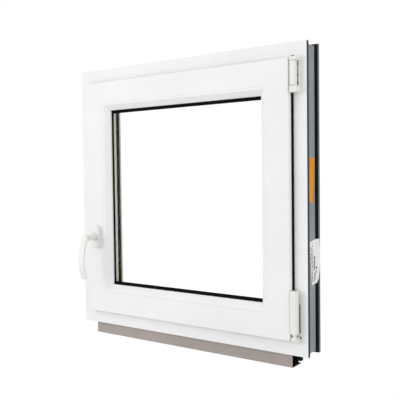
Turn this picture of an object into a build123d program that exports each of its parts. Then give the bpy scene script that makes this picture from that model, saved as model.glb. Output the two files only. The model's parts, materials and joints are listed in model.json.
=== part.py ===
from build123d import *
import os
from math import asin, cos, pi, radians, sin, sqrt, tan

# Tilt-and-turn casement window: a plastic frame with steel inside, an opening
# sash with double glazing, and its hardware.
#
# Row frame: +X to the right seen from the room, -Y towards the room, +Z up.
# The origin lies under the middle of the sill profile, half way through the
# frame's depth. Sections are drawn with u, the distance in from the frame's
# outer edge, and d, the depth behind the frame's room-side face. A member's
# own frame has x = u, y = d and z = s, the distance along the member.

# ------------------------------------------------------------ driving sizes (mm)

# Frame
width = 700.0                  # outer edge to outer edge
height = 700.0                 # outer edge to outer edge, without the sill profile
frame_depth = 70.0
frame_face = 44.0              # outer edge to the rebate floor
stop_height = 24.0             # how far the exterior stop stands up from the rebate floor
stop_thickness = 18.0          # exterior stop, room side to exterior face
flange_depth = 9.0             # room-side flange on the outer edge
web_recess = 5.5               # recess of the outer web behind the flange
groove_recess = 10.0           # depth of the connection groove
groove_width = 6.0             # connection groove, along the frame's depth
rail_depth = 16.0              # exterior rail on the outer edge
rail_chamfer = 8.0             # on the rail's exterior edge
wall = 2.8                     # outer walls of the profiles
rib = 1.5                      # inner walls of the profiles

# Sash
overlap = 8.0                  # sash laps over the frame's face
air_gap = 12.0                 # rebate floor to the sash's hardware edge
sash_proud = 18.0              # sash face in front of the frame's face
overlap_gap = 5.0              # frame face to the back of the overlap
stop_gap = 5.0                 # sash to the exterior stop
sash_face = 58.0               # sash edge to the glazing bead
glass_rebate = 19.0            # height of the exterior glazing leg
bead_width = 23.5
bead_back_gap = 4.0            # bead to glass, filled by a gasket
leg_gasket = 4.0               # glass to exterior leg, filled by a gasket
gasket_lip = 6.0               # room-side gasket on the glass, past the bead

# Glazing
pane = 4.0
cavity = 16.0
glass_clearance = 6.0          # glass edge to the rebate floor
spacer_width = 8.0
edge_seal = 3.5
block_length = 100.0

# Sill profile under the frame
sill_height = 30.0
sill_front = 5.0               # its front face, behind the frame's face
sill_back = 58.0
sill_setback = 42.0            # its ends, in from the frame's outer edges

# Hinge side
hinge_gap = 10.0               # turning axis to the sash's edge
hinge_d = -14.0                # turning axis, in front of the frame's face
tilt_height = 40.0             # tilting axis above the frame's bottom edge
pivot_r = 4.0                  # lower pivot pin
stay_pin_r = 3.0               # upper hinge pin
running = 0.05                 # radial clearance of pins that turn
stay_length = 250.0            # turning axis to the stay's sliding pin
stay_bearing_top = 35.0        # from the frame's top edge
stay_bearing_bottom = 113.0    # from the frame's top edge

# Hardware groove and drive
groove_mouth = 16.0
groove_channel = 12.0
mouth_depth = 3.0
channel_depth = 12.0
faceplate = 2.2
bar_thickness = 2.0
bar_width = 10.0
travel = 28.0                  # of the drive bars over half a turn of the handle
pinion_teeth = 15
pinion_width = 8.0
rack_floor = 0.25              # metal between the bar and the rack's tooth roots

# Handle
handle_height = 243.0          # above the frame's bottom edge
spindle = 7.0                  # square
rosette_width = 26.0
rosette_height = 60.0
rosette_depth = 11.5
lever_drop = 111.0             # spindle axis to the lever's tip
lever_out = 66.0               # lever's outermost point, from the sash face
lever_width = 20.0
screw_spacing = 43.0           # handle screws

# Fixing holes through the jambs
fixing_inset = 84.0            # from the frame's top and bottom edges
fixing_d = 26.0
fixing_r = 3.1

slack = 0.2                    # between pieces that are only laid together
screw_slack = 0.05             # round a screw's shank

# ------------------------------------------------------------ derived places

stop_d = frame_depth - stop_thickness          # room side of the exterior stop
stop_u = frame_face + stop_height
rail_d = frame_depth - rail_depth
groove_d = rail_d - groove_width
sash_edge = frame_face - overlap               # u of the sash's outer edge
hinge_u = sash_edge - hinge_gap                # u of the turning axis
hardware_u = frame_face + air_gap              # u of the sash's hardware edge
overlap_back = -overlap_gap
sash_back = stop_d - stop_gap
bead_u = sash_edge + sash_face                 # joint line and glazing rebate floor
bead_tip = bead_u + bead_width
leg_u = bead_u + glass_rebate
glass_u = bead_u + glass_clearance
glass_thickness = 2 * pane + cavity
leg_d = glass_thickness + leg_gasket           # room side of the exterior leg

groove_mid = groove_mouth / 2                  # d of the hardware groove's middle
seat_u = hardware_u + mouth_depth
channel_u = hardware_u + channel_depth
plate_u = hardware_u + slack                   # outer face of the faceplates
bar_u = plate_u + faceplate + slack            # outer face of the drive bars
pitch_r = travel / pi                          # pinion pitch radius
module = 2 * pitch_r / pinion_teeth
addendum = 0.8 * module
dedendum = 1.1 * module
pitch_u = bar_u + bar_thickness + rack_floor + dedendum
handle_u = pitch_u + pitch_r                   # spindle axis, in from the frame's outer edge

centre_z = sill_height + height / 2
handle_s = handle_height - height / 2          # along the handle side's members
side_x = width / 2
hinge_x = side_x - hinge_u
hinge_y = hinge_d - frame_depth / 2
bottom_z = sill_height
top_z = sill_height + height


def y_at(d):
    """Row y of a depth behind the frame's room-side face."""
    return d - frame_depth / 2


# Each member's own frame, by the side of the window that it lies on.
SIDES = {
    "handle": Plane(origin=(-side_x, y_at(0), centre_z), x_dir=(1, 0, 0), z_dir=(0, 0, 1)),
    "hinge": Plane(origin=(side_x, y_at(0), centre_z), x_dir=(-1, 0, 0), z_dir=(0, 0, -1)),
    "head": Plane(origin=(0, y_at(0), top_z), x_dir=(0, 0, -1), z_dir=(1, 0, 0)),
    "sill": Plane(origin=(0, y_at(0), bottom_z), x_dir=(0, 0, 1), z_dir=(-1, 0, 0)),
}
LENGTHS = {"handle": height, "hinge": height, "head": width, "sill": width}
SASH_NAMES = {
    "handle": "sash_stile_handle",
    "hinge": "sash_stile_hinge",
    "head": "sash_top",
    "sill": "sash_bottom",
}
FRAME_NAMES = {
    "handle": "frame_jamb_handle",
    "hinge": "frame_jamb_hinge",
    "head": "frame_head",
    "sill": "frame_sill",
}
BEAD_NAMES = {
    "handle": "bead_handle",
    "hinge": "bead_hinge",
    "head": "bead_top",
    "sill": "bead_bottom",
}

parts = {}                     # node name: list of solids


# ------------------------------------------------------------ helpers

def block(x, y, z):
    """A box between two values on each axis."""
    spans = (x, y, z)
    middle = [(a + b) / 2 for a, b in spans]
    return Pos(*middle) * Box(*[abs(b - a) for a, b in spans])


def rod(start, direction, radius, length):
    """A cylinder that leaves start along direction."""
    return extrude(Plane(origin=start, z_dir=direction) * Circle(radius), length)


def pocket(u, d):
    """A rectangle of a section between two values of u and of d."""
    return Pos((u[0] + u[1]) / 2, (d[0] + d[1]) / 2) * Rectangle(u[1] - u[0], d[1] - d[0])


def section(points, rounds=()):
    """A closed section through points; rounds pairs corner numbers with radii."""
    face = make_face(Polyline(*points, close=True))
    for corner, radius in rounds:
        u, d = points[corner]
        face = fillet(face.vertices().sort_by_distance((u, d, 0))[0], radius)
    return face


def place(side, shape):
    """Moves a shape from a member's own frame to the row frame."""
    return SIDES[side].location * shape


def mitred(side, face, reach):
    """A member with the given section and 45 degree ends, in its own frame."""
    half = LENGTHS[side] / 2
    bar = extrude(face, amount=half, both=True)
    ends = [(-1, -half - 1), (reach, -half + reach), (reach, half - reach), (-1, half + 1)]
    wedge = extrude(Plane.XZ * make_face(Polyline(*ends, close=True)), 2 * frame_depth, both=True)
    return bar & wedge


def ring(u, d):
    """A rectangular ring round the window between two values of u and of d."""
    outer = block(
        (-side_x + u[0], side_x - u[0]), (y_at(d[0]), y_at(d[1])), (bottom_z + u[0], top_z - u[0])
    )
    inner = block(
        (-side_x + u[1], side_x - u[1]), (y_at(d[0]) - 1, y_at(d[1]) + 1),
        (bottom_z + u[1], top_z - u[1]),
    )
    return outer - inner


def screw(head, direction, shank_r, length, head_r=None, head_height=2.0):
    """A screw whose flat head starts at head and whose shank runs along direction."""
    head_r = head_r or 1.9 * shank_r
    shank = rod(head, direction, shank_r, length)
    cap = extrude(Plane(origin=head, z_dir=direction) * Circle(head_r), head_height, taper=35)
    recess = rod(head, direction, shank_r * 0.7, head_height * 0.6)
    return shank + cap - recess


def screw_hole(head, direction, shank_r, length, head_r=None, head_height=2.0):
    """The space that a screw takes, with room round it."""
    head_r = (head_r or 1.9 * shank_r) + screw_slack
    shank = rod(head, direction, shank_r + screw_slack, length + 1)
    return shank + extrude(
        Plane(origin=head, z_dir=direction) * Circle(head_r), head_height + screw_slack, taper=35
    )


def keep(name, *shapes):
    """Stores the solids of a node."""
    parts[name] = [solid for shape in shapes for solid in shape.solids()]


# ------------------------------------------------------------ profiles

def frame_section():
    points = [
        (0, 0), (frame_face, 0), (frame_face, stop_d), (stop_u, stop_d),
        (stop_u, stop_d + 6), (stop_u - 7, frame_depth), (rail_chamfer, frame_depth),
        (0, frame_depth - rail_chamfer),
        (0, rail_d), (groove_recess, rail_d), (groove_recess, groove_d),
        (web_recess, groove_d), (web_recess, flange_depth), (0, flange_depth),
    ]
    face = section(points, [(0, 0.8), (1, 1.5), (4, 1.0), (5, 2.0)])
    inner_u = web_recess + wall
    rebate_wall = frame_face - wall
    face -= pocket((inner_u, rebate_wall), (wall, steel_d[0] - rib))
    face -= pocket((inner_u, rebate_wall), steel_d)
    face -= pocket((groove_recess + wall, rebate_wall), (steel_d[1] + rib, rail_d - rib))
    face -= section([
        (wall, rail_d + rib), (stop_u - 12, rail_d + rib), (stop_u - 12, frame_depth - wall),
        (rail_chamfer + rib, frame_depth - wall), (wall, frame_depth - rail_chamfer - rib),
    ])
    return face


def sash_section():
    foot = bead_foot
    mouth = (groove_mid - groove_mouth / 2, groove_mid + groove_mouth / 2)
    channel = (groove_mid - groove_channel / 2, groove_mid + groove_channel / 2)
    points = [
        (sash_edge, -sash_proud), (bead_u, -sash_proud),
        (bead_u, foot[0] - slack), (bead_u - 3, foot[0] - slack),
        (bead_u - 3, foot[1] + slack), (bead_u, foot[1] + slack),
        (bead_u, leg_d), (leg_u, leg_d), (leg_u, leg_d + 4), (leg_u - 9, sash_back),
        (hardware_u, sash_back), (hardware_u, mouth[1]), (seat_u, mouth[1]),
        (seat_u, channel[1]), (channel_u, channel[1]), (channel_u, channel[0]),
        (seat_u, channel[0]), (seat_u, mouth[0]), (hardware_u, mouth[0]),
        (hardware_u, overlap_back), (sash_edge, overlap_back),
    ]
    face = section(points, [(0, 2.5), (8, 1.0), (9, 1.5), (10, 1.0), (20, 1.0)])
    front = -sash_proud + wall
    inner = bead_u - 7
    face -= pocket((sash_edge + wall, inner), (front, overlap_back - wall))
    face -= pocket((hardware_u + wall, inner), (front, mouth[0] - wall))
    face -= pocket((channel_u + wall, inner + 1), (mouth[0], groove_mouth - 1))
    face -= pocket((hardware_u + wall, bead_u - wall), sash_steel_d)
    face -= pocket((bead_u, leg_u - 8), (leg_d + wall, sash_back - wall))
    return face


def bead_section():
    foot = bead_foot
    points = [
        (bead_u, -sash_proud), (bead_u + 5, -sash_proud),
        (bead_tip, -bead_back_gap - 4), (bead_tip, -bead_back_gap), (bead_u, -bead_back_gap),
        (bead_u, foot[1]), (bead_u - 2.8, foot[1]), (bead_u - 2.8, foot[0]), (bead_u, foot[0]),
    ]
    return section(points, [(1, 6.0), (2, 1.5)])


def channel_section(u, d, sheet=1.5):
    """A steel channel, open to the exterior, that fills a chamber."""
    face = pocket((u[0] + slack, u[1] - slack), (d[0] + slack, d[1] - slack))
    return face - pocket((u[0] + slack + sheet, u[1] - slack - sheet), (d[0] + sheet, d[1]))


steel_d = (12.5, groove_d - wall)                         # frame's steel chamber
sash_steel_d = (groove_mouth + 2.5, sash_back - wall)     # sash's steel chamber
bead_foot = (-sash_proud + 5, -sash_proud + 8)            # d of the bead's snap foot
steel_end = 12.0                                          # steel ends, short of the mitres


def steel_bar(side, u, d):
    """A straight steel channel that ends short of the mitres, in its own frame."""
    half = LENGTHS[side] / 2 - u[1] - steel_end
    return extrude(channel_section(u, d), amount=half, both=True)


# ------------------------------------------------------------ fasteners by place

def rows(*distances):
    """Row heights of distances down from the frame's top edge."""
    return [top_z - distance for distance in distances]


bearing_plate = 4.0                            # thickness of the lower hinge's frame plate
stay_plate = 3.5                               # thickness of the upper hinge's frame plate
corner_plate_top = 117.0                       # above the frame's bottom edge
corner_base_top = 54.0
corner_base_bottom = tilt_height - 6.5
into_frame = (0, 1, 0)

top_knuckle = 8.5
bottom_knuckle = 14.5
stay_screws = [
    (hinge_x + 5.2, y_at(-stay_plate), z)
    for z in rows(stay_bearing_top + top_knuckle + 7, (stay_bearing_top + stay_bearing_bottom) / 2,
                  stay_bearing_bottom - bottom_knuckle - 7)
]
corner_screws = [
    (hinge_x + 3.75, y_at(-bearing_plate), bottom_z + z)
    for z in (corner_plate_top - 49, corner_plate_top - 28, corner_plate_top - 7)
]
corner_screws.append((hinge_x + 9.5, y_at(-bearing_plate), bottom_z + tilt_height + 4))
bearing_screw = {"direction": into_frame, "shank_r": 1.8, "head_r": 3.0, "length": 30.0}

# Locking cams: where each stands along its member at rest. A bar carries its
# cams towards smaller s as the handle turns.
cams = {
    "handle": [-height / 2 + 172, height / 2 - 180],
    "head": [-width / 2 + 250],
    "sill": [-width / 2 + 230],
}
tilt_cam = width / 2 - 260                     # along the sill, from its own middle
cam_head_r = 4.5
cam_stud_r = 3.0
cam_top = frame_face + 3.0
cam_head = 3.4
keep_thickness = 2.0
keep_ahead = 40.0
keep_behind = 44.0
lip_start = 10.0
lip_length = 24.0
tilt_lip = 18.0

keep_places = [(side, s) for side in cams for s in cams[side]]
keep_screws = [(side, s + shift) for side, s in keep_places for shift in (-keep_behind + 4, 30.0)]
keep_screws += [("sill", tilt_cam + shift) for shift in (-keep_behind - 10, 6.0)]
keep_screw = {"direction": (-1, 0, 0), "shank_r": 1.8, "length": 16.0}


def keep_screw_head(s):
    return (frame_face + keep_thickness, groove_mid, s)


corner_leg = 60.0                              # of a corner drive, from the sash corner
faceplate_span = {
    "handle": (-height / 2 + hardware_u + corner_leg, height / 2 - hardware_u - corner_leg),
    "head": (-width / 2 + hardware_u + corner_leg, side_x - hinge_u - stay_length - 34),
    "sill": (-width / 2 + hardware_u + 120, width / 2 - hardware_u - corner_leg),
}
plate_screws = {
    "handle": [faceplate_span["handle"][0] + 12, handle_s + 105, faceplate_span["handle"][1] - 48],
    "head": [faceplate_span["head"][0] + 8, faceplate_span["head"][1] - 46],
    "sill": [faceplate_span["sill"][0] + 10, faceplate_span["sill"][1] - 48],
}
plate_screw = {"direction": (1, 0, 0), "shank_r": 1.9, "length": 22.0}

band_bottom = 56.0                             # above the frame's bottom edge
band_top = 143.0
cover_bottom = 54.0
cover_top = 149.0
band_sheet = 3.0
band_d = (overlap_back, overlap_back + band_sheet)
band_screw_d = groove_mouth + 5
band_screws = [
    (height / 2 - band_bottom - 14 - step * 28, band_screw_d) for step in range(3)
]
band_screw = {"direction": (1, 0, 0), "shank_r": 1.9, "length": 20.0}


# ------------------------------------------------------------ frame

def make_frame():
    face = frame_section()
    steel_u = (web_recess + wall, frame_face - wall)
    steels = []
    for side, name in FRAME_NAMES.items():
        cuts = [
            screw_hole(keep_screw_head(s), **keep_screw) for where, s in keep_screws
            if where == side
        ]
        member = mitred(side, face, stop_u)
        steel = steel_bar(side, steel_u, steel_d)
        if side in ("handle", "hinge"):
            for s in (-height / 2 + fixing_inset, height / 2 - fixing_inset):
                cuts.append(rod((-1, fixing_d, s), (1, 0, 0), fixing_r, frame_face + 2))
        for cut in cuts:
            member -= cut
            steel -= cut
        member = place(side, member)
        steel = place(side, steel)
        if side == "hinge":
            for head in stay_screws + corner_screws:
                hole = screw_hole(head, **bearing_screw)
                member -= hole
                steel -= hole
        keep(name, member)
        steels.append(steel)
    keep("frame_reinforcements", *steels)


def make_stop_gasket():
    """Weather seal on the exterior stop, with a hollow-looking bulb lip."""
    base = ring((stop_u - 11, stop_u - 3), (stop_d - 2.6, stop_d))
    bulb = ring((stop_u - 9, stop_u - 5), (sash_back + 0.4, stop_d - 2.6))
    keep("frame_stop_gasket", base + bulb)


def make_drain_caps():
    caps = []
    for x in (-width / 2 + 150, width / 2 - 150):
        cap = block((x - 16, x + 16), (y_at(frame_depth), y_at(frame_depth) + 4),
                    (bottom_z + 16, bottom_z + 27))
        cap = fillet(cap.edges().group_by(Axis.Y)[-1], 2.0)
        cap -= block((x - 11, x + 11), (y_at(frame_depth) - 1, y_at(frame_depth) + 2.4),
                     (bottom_z + 15, bottom_z + 21))
        caps.append(cap)
    keep("drain_caps", *caps)


def make_sill_profile():
    """The profile that joins the frame to an inner and an outer window board."""
    rib_top = sill_height + web_recess - slack
    clip_top = sill_height + groove_recess - 2
    clip = (groove_d + 1.2, rail_d - 1.2)
    points = [
        (sill_front, 0), (sill_front, sill_height), (flange_depth + slack, sill_height),
        (flange_depth + slack, rib_top), (groove_d - slack, rib_top), (groove_d - slack, sill_height),
        (clip[0], sill_height), (clip[0], clip_top), (clip[1], clip_top), (clip[1], sill_height),
        (sill_back, sill_height), (sill_back, 22), (sill_back - 5, 22), (sill_back - 5, 14),
        (sill_back, 14), (sill_back, 5), (sill_back - 12, 5), (sill_back - 12, 0),
    ]
    face = section(points, [(0, 1.0)])
    thin = 2.5
    chambers = 3
    start = sill_front + thin
    pitch = (clip[0] - start) / chambers
    for number in range(chambers):
        left = start + number * pitch
        face -= pocket((left, left + pitch - thin), (thin, sill_height - thin))
    face -= pocket((clip[0], sill_back - 5 - thin), (5 + thin, sill_height - thin))
    length = width / 2 - sill_setback
    profile = extrude(Plane(origin=(0, y_at(0), 0), x_dir=(0, 1, 0), z_dir=(1, 0, 0)) * face,
                      amount=length, both=True)
    keep("sill_profile", profile)


def make_labels():
    """A data label and a transport sticker on the hinge side's outer edge."""
    thin = 0.4
    rail_end = frame_depth - 4
    film = section([
        (web_recess, flange_depth + 1.5), (web_recess, groove_d), (0, rail_d),
        (0, rail_end), (-thin, rail_end), (-thin, rail_d), (web_recess - thin, groove_d - thin),
        (web_recess - thin, flange_depth + 1.5),
    ])
    label_bottom = 157.0
    label_height = 101.0
    middle = height / 2 - label_bottom - label_height / 2
    keep("frame_label", place("hinge", Pos(0, 0, middle) * extrude(film, label_height / 2, both=True)))
    sticker_bottom = 345.0
    sticker_height = 100.0
    low = height / 2 - sticker_bottom
    sticker = block((web_recess - thin, web_recess), (flange_depth + 11, flange_depth + 30),
                    (low - sticker_height, low))
    keep("transport_sticker", place("hinge", sticker))


def make_strikers():
    half = groove_mouth / 2 - slack
    low, high = groove_mid - half, groove_mid + half
    top = frame_face + keep_thickness
    strikers = []
    for side, s in keep_places:
        striker = block((frame_face, top), (low, high), (s - keep_behind, s + keep_ahead))
        lip = (s + lip_start, s + lip_start + lip_length)
        striker += block((frame_face, cam_top + cam_head + 2), (low, low + 1.8), lip)
        striker += block((cam_top + cam_head + 0.4, cam_top + cam_head + 2), (low, low + 3.8), lip)
        for where, along in keep_screws:
            if where == side and abs(along - s) < keep_behind:
                striker -= screw_hole(keep_screw_head(along), **keep_screw)
        strikers.append(place(side, striker))
    keep("striker_plates", *strikers)
    s = tilt_cam
    lip = (s - travel - tilt_lip / 2, s - travel + tilt_lip / 2)
    striker = block((frame_face, top), (low, high), (s - keep_behind - 16, s + 12))
    striker += block((frame_face, cam_top + cam_head + 1), (low, low + 1.8), lip)
    for where, along in keep_screws[-2:]:
        striker -= screw_hole(keep_screw_head(along), **keep_screw)
    keep("tilt_striker", place("sill", striker))
    keep("striker_screws", *[
        place(side, screw(keep_screw_head(s), **keep_screw)) for side, s in keep_screws
    ])


# ------------------------------------------------------------ hinge side hardware

def hinge_block(x, y, z):
    """A box given from the turning axis, with z above the row's floor."""
    return block((hinge_x + x[0], hinge_x + x[1]), (hinge_y + y[0], hinge_y + y[1]), z)


def hinge_rod(radius, z):
    return rod((hinge_x, hinge_y, z[0]), (0, 0, 1), radius, z[1] - z[0])


knuckle_r = 5.0
band_r = 5.4
face_y = -hinge_d                              # frame face, from the turning axis
stay_x = (0.0, 11.0)                           # upper hinge's frame plate, from the axis
strip_x = 7.2                                  # its raised strip starts here
strip_height = 4.6
stay_z = (top_z - stay_bearing_bottom, top_z - stay_bearing_top)
stay_band_z = (stay_z[0] + bottom_knuckle, stay_z[1] - top_knuckle)


def make_stay_bearing():
    bearing = hinge_block(stay_x, (face_y - stay_plate, face_y), stay_z)
    bearing += hinge_block((strip_x, stay_x[1]), (face_y - strip_height, face_y), stay_z)
    for z in ((stay_z[0], stay_band_z[0]), (stay_band_z[1], stay_z[1])):
        bearing += hinge_rod(knuckle_r, z)
        bearing += hinge_block((0, strip_x), (-knuckle_r + 1, face_y), z)
        bearing += hinge_block((0, stay_x[1]), (knuckle_r, face_y), z)
    bearing -= hinge_rod(stay_pin_r + running, (stay_z[0] - 1, stay_z[1] + 1))
    for head in stay_screws:
        bearing -= screw_hole(head, **bearing_screw)
    keep("stay_bearing", bearing)
    keep("stay_bearing_screws", *[screw(head, **bearing_screw) for head in stay_screws])
    head_z = stay_z[1] + slack
    keep("stay_pin", hinge_rod(stay_pin_r, (stay_z[0] + 1, head_z + 2))
         + hinge_rod(stay_pin_r + 1.6, (head_z, head_z + 2)))


ear_r = 6.0
ear_x = (4.4, 6.3)
corner_x = (0.0, 7.5)                          # lower hinge's upright plate, from the axis
corner_base_x = (-ear_x[1], 12.6)
cross_r = 3.0
axis_z = bottom_z + tilt_height


def make_corner_bearing():
    base_z = (bottom_z + corner_base_bottom, bottom_z + corner_base_top)
    bearing = hinge_block(corner_base_x, (face_y - bearing_plate, face_y), base_z)
    bearing += hinge_block(corner_x, (face_y - bearing_plate, face_y),
                           (base_z[0], bottom_z + corner_plate_top))
    for x in ((-ear_x[1], -ear_x[0]), ear_x):
        bearing += hinge_block(x, (0, face_y - bearing_plate), (axis_z - ear_r, axis_z + ear_r))
        bearing += rod((hinge_x + x[0], hinge_y, axis_z), (1, 0, 0), ear_r, x[1] - x[0])
    bearing -= rod((hinge_x - ear_x[1] - 1, hinge_y, axis_z), (1, 0, 0), cross_r + running,
                   2 * ear_x[1] + 2)
    for head in corner_screws:
        bearing -= screw_hole(head, **bearing_screw)
    keep("corner_bearing", bearing)
    keep("corner_bearing_screws", *[screw(head, **bearing_screw) for head in corner_screws])


def make_corner_pin():
    hub = ear_x[0] - slack
    pin = rod((hinge_x - hub, hinge_y, axis_z), (1, 0, 0), ear_r - slack, 2 * hub)
    pin += rod((hinge_x - ear_x[1], hinge_y, axis_z), (1, 0, 0), cross_r, 2 * ear_x[1])
    pin += hinge_rod(pivot_r, (axis_z, bottom_z + band_bottom + 54))
    pin += hinge_rod(band_r, (axis_z + 10, bottom_z + band_bottom - slack))
    keep("corner_pivot_pin", pin)


web_x = (-band_r, -1.2)


def make_sash_band():
    z = (bottom_z + band_bottom, bottom_z + band_top)
    leaf_y = (band_d[0] - hinge_d, band_d[1] - hinge_d)
    edge_x = hinge_u - hardware_u
    band = hinge_rod(band_r, z)
    band += hinge_block(web_x, (0, leaf_y[1]), z)
    band += hinge_block((edge_x, web_x[1]), leaf_y, z)
    band += hinge_block((edge_x, edge_x + band_sheet), (leaf_y[0], groove_mouth + 10 - hinge_d), z)
    band -= hinge_rod(pivot_r + running, (z[0] - 1, z[0] + 56))
    for s, d in band_screws:
        band -= place("hinge", screw_hole((hardware_u - band_sheet, d, s), **band_screw))
    keep("sash_hinge_band", band)
    keep("hinge_band_screws", *[
        place("hinge", screw((hardware_u - band_sheet, d, s), **band_screw)) for s, d in band_screws
    ])


def hinge_cap(x, half, corner, bevel, z, closed):
    """A cover round a hinge band, open at the back for the band's leaf."""
    cap = hinge_block(x, (-half, half), z)
    upright = cap.edges().filter_by(Axis.Z)
    cap = chamfer(upright, corner) if bevel else fillet(upright, corner)
    roof = 2.0 if closed else -1.0
    cap -= hinge_rod(band_r + 0.4, (z[0] - 1, z[1] - roof))
    cap -= hinge_block((web_x[0] - 0.4, web_x[1] + 0.4), (0, half + 1), (z[0] - 1, z[1] - roof))
    return cap


def make_covers():
    z = (bottom_z + cover_bottom, bottom_z + cover_top)
    keep("sash_hinge_cover", hinge_cap((-9.0, 7.6), 8.0, 2.6, True, z, True))
    z = (stay_band_z[0] + 0.8, stay_band_z[1] - 0.8)
    keep("stay_band_cover", hinge_cap((-6.6, 7.2), 6.8, 3.2, False, z, False))


arm_sheet = 3.0
arm_top = frame_face + 5.0                     # from the frame's top edge
arm_half = 5.5


def make_stay_arm():
    """The arm that holds the sash's top while it tilts, in one piece with its band."""
    z = (stay_band_z[0] + slack, stay_band_z[1] - slack)
    arm_z = (top_z - arm_top - arm_sheet, top_z - arm_top)
    leaf_y = (band_d[0] - hinge_d + 0.4, band_d[1] - hinge_d + 0.2)
    leaf_end = hinge_u - hardware_u + 4
    rail_y = groove_mid - hinge_d
    arm = hinge_rod(band_r, z)
    arm += hinge_block(web_x, (0, leaf_y[1]), z)
    arm += hinge_block((leaf_end, web_x[1]), leaf_y, (z[0], arm_z[1]))
    arm += hinge_block((leaf_end - 18, leaf_end), (leaf_y[0], rail_y + arm_half), arm_z)
    arm += hinge_block((-stay_length, leaf_end), (rail_y - arm_half, rail_y + arm_half), arm_z)
    tip = (hinge_x - stay_length, hinge_y + rail_y)
    arm += rod((*tip, arm_z[0]), (0, 0, 1), arm_half, arm_sheet)
    pin_bottom = top_z - channel_u + 4
    arm += rod((*tip, pin_bottom), (0, 0, 1), stay_pin_r, arm_z[0] - pin_bottom)
    arm -= hinge_rod(stay_pin_r + running, (z[0] - 1, z[1] + 1))
    keep("stay_arm", arm)


# ------------------------------------------------------------ sash

housing_half = 32.0
housing_u = (pitch_u + addendum + 0.7, handle_u + pitch_r + addendum + 1.8)
housing_d = (groove_mid - 6.2, groove_mid + 6.2)
cheek = 1.4
hub_r = 5.5


def handle_screw_heads():
    return [(handle_u, -sash_proud - 4.5, handle_s + side * screw_spacing / 2) for side in (-1, 1)]


handle_screw = {"direction": (0, 1, 0), "shank_r": 2.5, "head_r": 4.6, "head_height": 2.0,
                "length": sash_proud + 4.5 + housing_d[0] + cheek}


def make_sash():
    face = sash_section()
    steel_u = (hardware_u + wall, bead_u - wall)
    steels = []
    for side, name in SASH_NAMES.items():
        cuts = []
        for s in plate_screws.get(side, []):
            cuts.append(screw_hole((plate_u, groove_mid, s), **plate_screw))
        if side == "hinge":
            cuts += [screw_hole((hardware_u - band_sheet, d, s), **band_screw)
                     for s, d in band_screws]
        if side == "handle":
            cuts += [screw_hole(head, **handle_screw) for head in handle_screw_heads()]
            cuts.append(rod((handle_u, -sash_proud - 1, handle_s), (0, 1, 0), 8.0, sash_proud + 4))
            cuts.append(block((hardware_u + 1, housing_u[1] + 0.4),
                              (housing_d[0] - 0.3, housing_d[1] + 0.3),
                              (handle_s - housing_half - 2, handle_s + housing_half + 2)))
        member = mitred(side, face, leg_u)
        steel = steel_bar(side, steel_u, sash_steel_d)
        for cut in cuts:
            member -= cut
            steel -= cut
        keep(name, place(side, member))
        steels.append(place(side, steel))
    keep("sash_reinforcements", *steels)


def make_beads():
    face = bead_section()
    for side, name in BEAD_NAMES.items():
        keep(name, place(side, mitred(side, face, bead_tip)))


def make_glazing():
    reach = side_x - glass_u
    z = (bottom_z + glass_u, top_z - glass_u)
    back = glass_thickness
    keep("inner_pane", block((-reach, reach), (y_at(0), y_at(pane)), z))
    keep("outer_pane", block((-reach, reach), (y_at(back - pane), y_at(back)), z))
    spacer_u = glass_u + edge_seal
    keep("glass_edge_seal", ring((glass_u, spacer_u), (pane, back - pane)))
    tube = ring((spacer_u, spacer_u + spacer_width), (pane, back - pane))
    tube -= ring((spacer_u + 1, spacer_u + spacer_width - 1), (pane + 1, back - pane - 1))
    keep("glass_spacer", tube)
    lip = ring((bead_tip - 2, bead_tip + gasket_lip), (-1.6, 0))
    keep("inner_glazing_gasket", ring((glass_u + 3, bead_tip - 1), (-bead_back_gap, 0)) + lip)
    keep("outer_glazing_gasket", ring((glass_u, leg_u - 1), (back, leg_d)))
    blocks = []
    for side in SIDES:
        half = LENGTHS[side] / 2 - glass_u
        for s in (-half + block_length, half - block_length):
            shape = block((bead_u, glass_u), (0, back), (s - block_length / 2, s + block_length / 2))
            blocks.append(place(side, shape))
    keep("glazing_blocks", *blocks)


def make_overlap_gasket():
    """Room-side seal on the overlap, cut away where the hinge leaves pass."""
    seal = ring((sash_edge + 0.3, sash_edge + 6), (overlap_back, -0.9))
    seal += ring((sash_edge - 2, sash_edge + 1), (-2.4, -0.9))
    room = 1.0
    for low, high in ((bottom_z + band_bottom, bottom_z + band_top),
                      (stay_band_z[0], top_z - arm_top)):
        seal -= block((side_x - hardware_u, side_x), (y_at(overlap_back) - 1, y_at(0)),
                      (low - room, high + room))
    keep("sash_overlap_gasket", seal)


# ------------------------------------------------------------ drive gear

def slot(s, width_mm, u):
    """A slot along a bar or plate, as long as the bars' travel."""
    ends = [rod((u[0], groove_mid, end), (1, 0, 0), width_mm / 2, u[1] - u[0]) for end in s]
    middle = block(u, (groove_mid - width_mm / 2, groove_mid + width_mm / 2), s)
    return ends[0] + middle + ends[1]


def make_faceplates():
    plates, screws = [], []
    half = groove_mouth / 2 - slack
    for side, span in faceplate_span.items():
        u = (plate_u, plate_u + faceplate)
        plate = block(u, (groove_mid - half, groove_mid + half), span)
        on_side = cams[side] + ([tilt_cam] if side == "sill" else [])
        for s in on_side:
            plate -= slot((s - travel - 0.4, s + 0.4), 2 * cam_stud_r + 0.8, (u[0] - 1, u[1] + 1))
        for s in plate_screws[side]:
            plate -= screw_hole((plate_u, groove_mid, s), **plate_screw)
            screws.append(place(side, screw((plate_u, groove_mid, s), **plate_screw)))
        plates.append(place(side, plate))
    keep("faceplates", *plates)
    keep("faceplate_screws", *screws)


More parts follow.
